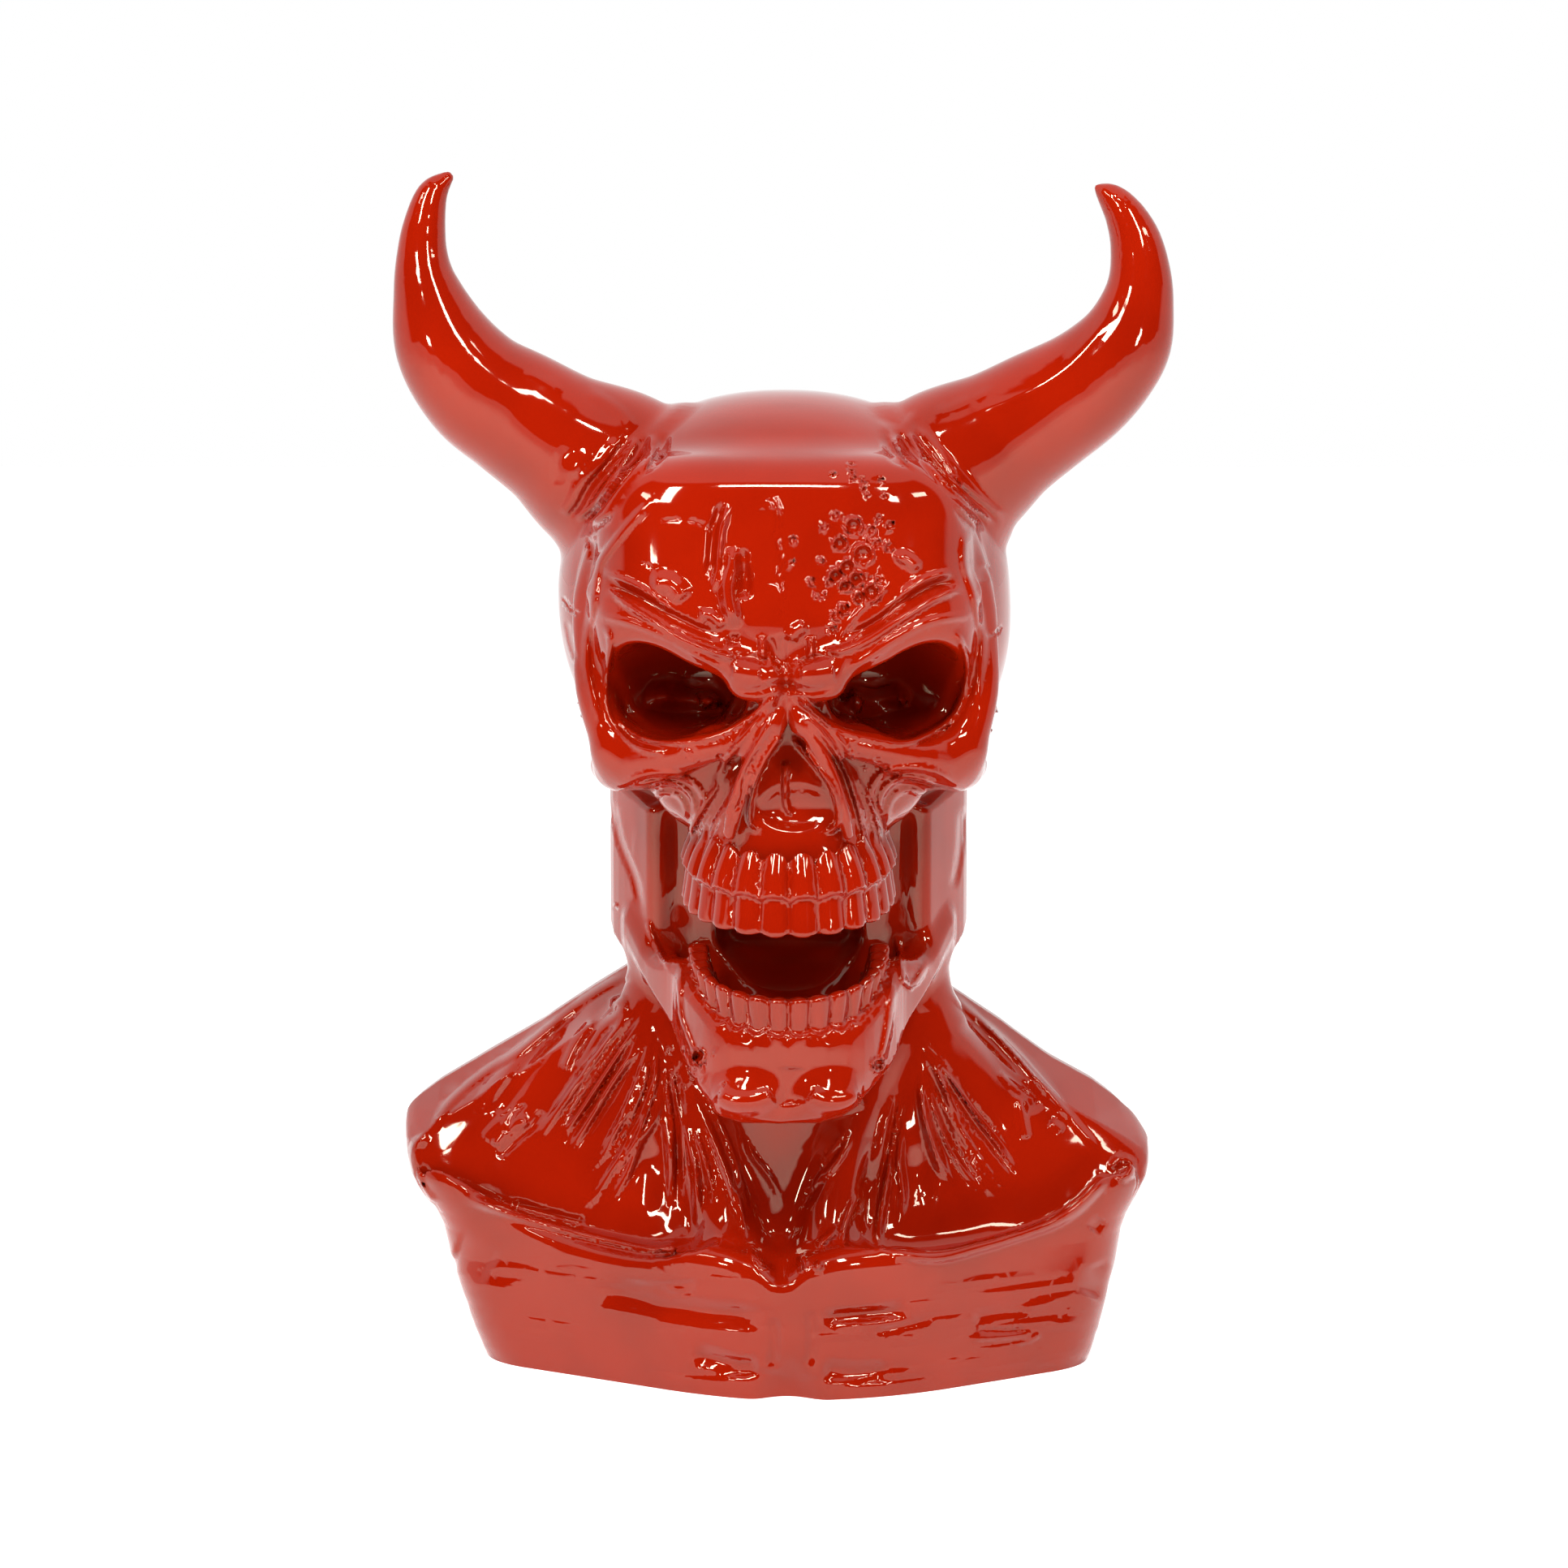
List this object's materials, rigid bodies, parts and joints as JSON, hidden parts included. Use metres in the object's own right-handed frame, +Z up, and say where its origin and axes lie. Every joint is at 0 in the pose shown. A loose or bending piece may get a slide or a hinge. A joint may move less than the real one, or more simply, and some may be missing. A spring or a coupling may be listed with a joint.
{
  "type": "devil bust",
  "caption": "Horned devil skull bust with an open toothed mouth on a cut-off chest, cast in one piece with a glossy red finish.",
  "frame": {"origin": "on the flat foot, under the crown of the head", "axes": "+Z up, the face looks along -Y, +X is on the right of someone who faces it"},
  "size_m": [0.2606, 0.1805, 0.3989],
  "materials": {
    "red_lacquer": "glossy red lacquer on cast resin"
  },
  "bodies": {
    "root": {"devil_bust": "red_lacquer"}
  },
  "joints": []
}
